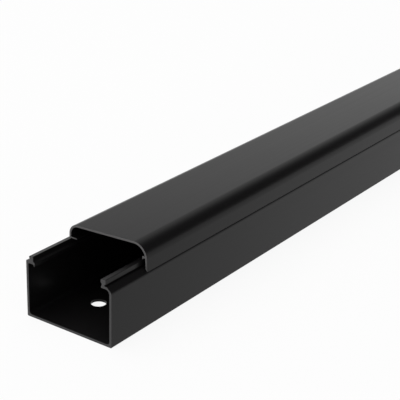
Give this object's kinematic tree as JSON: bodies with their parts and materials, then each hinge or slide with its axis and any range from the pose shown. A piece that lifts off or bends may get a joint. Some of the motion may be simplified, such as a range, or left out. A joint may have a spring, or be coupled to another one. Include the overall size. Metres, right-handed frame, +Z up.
{
  "type": "cable channel",
  "caption": "Rectangular plastic cable channel: an open trough with snap heads along its walls, screw holes in its floor and a crowned clip-on cover slid back from one end.",
  "frame": {"origin": "middle of the base's flat underside, half way along the base and half way across it", "axes": "+X across the channel, to the right when looking along it from its near end; +Y along the channel, from the near end, where the cover is slid back, to the far end; +Z up, from the underside to the cover"},
  "size_m": [0.05, 1.0258, 0.0406],
  "materials": {
    "black_pvc_base": "satin extruded rigid PVC, black through and through",
    "black_pvc_cover": "satin extruded rigid PVC, black through and through"
  },
  "bodies": {
    "base": {"base": "black_pvc_base"},
    "cover": {"cover": "black_pvc_cover"}
  },
  "joints": [
    {"name": "cover_slide", "type": "slide", "parent": "base", "child": "cover", "axis": [0, 1, 0], "range_m": [-0.0258, 0.98]}
  ]
}
